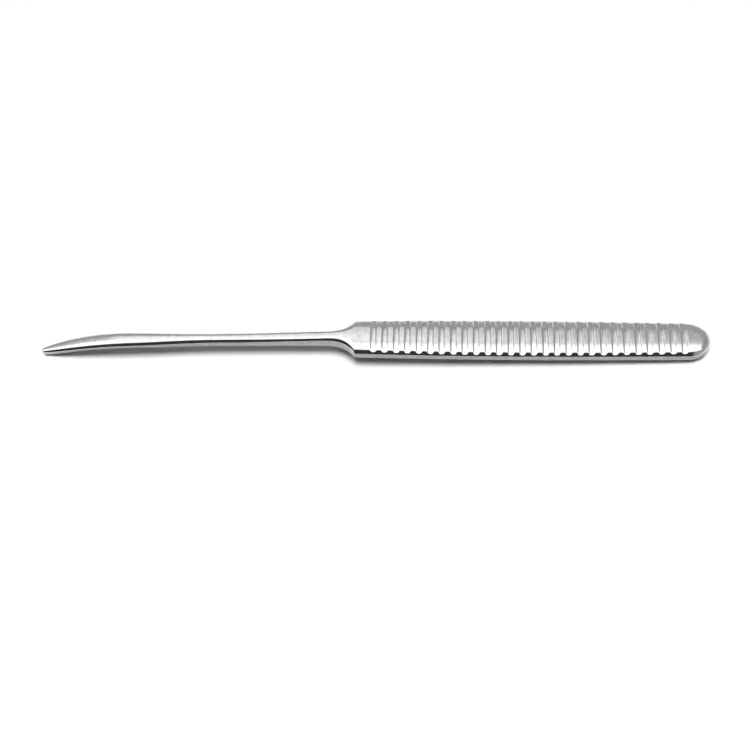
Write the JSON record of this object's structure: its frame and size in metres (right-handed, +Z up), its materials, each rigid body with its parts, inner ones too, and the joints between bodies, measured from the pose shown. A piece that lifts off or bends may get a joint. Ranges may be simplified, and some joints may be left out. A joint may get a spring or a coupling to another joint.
{
  "type": "periosteal elevator",
  "caption": "One-piece steel bar with a slim downward-curved blade, a round shank and a flat handle with cross grooves, for lifting tissue from bone.",
  "frame": {"origin": "middle of the bounding box's base, on the table that the instrument lies on", "axes": "+X from the blade's tip towards the end of the handle, +Z up from the table, +Y across the handle"},
  "size_m": [0.1802, 0.012, 0.0078],
  "materials": {
    "steel": "satin polished stainless steel"
  },
  "bodies": {
    "root": {"periosteal_elevator": "steel"}
  },
  "joints": []
}
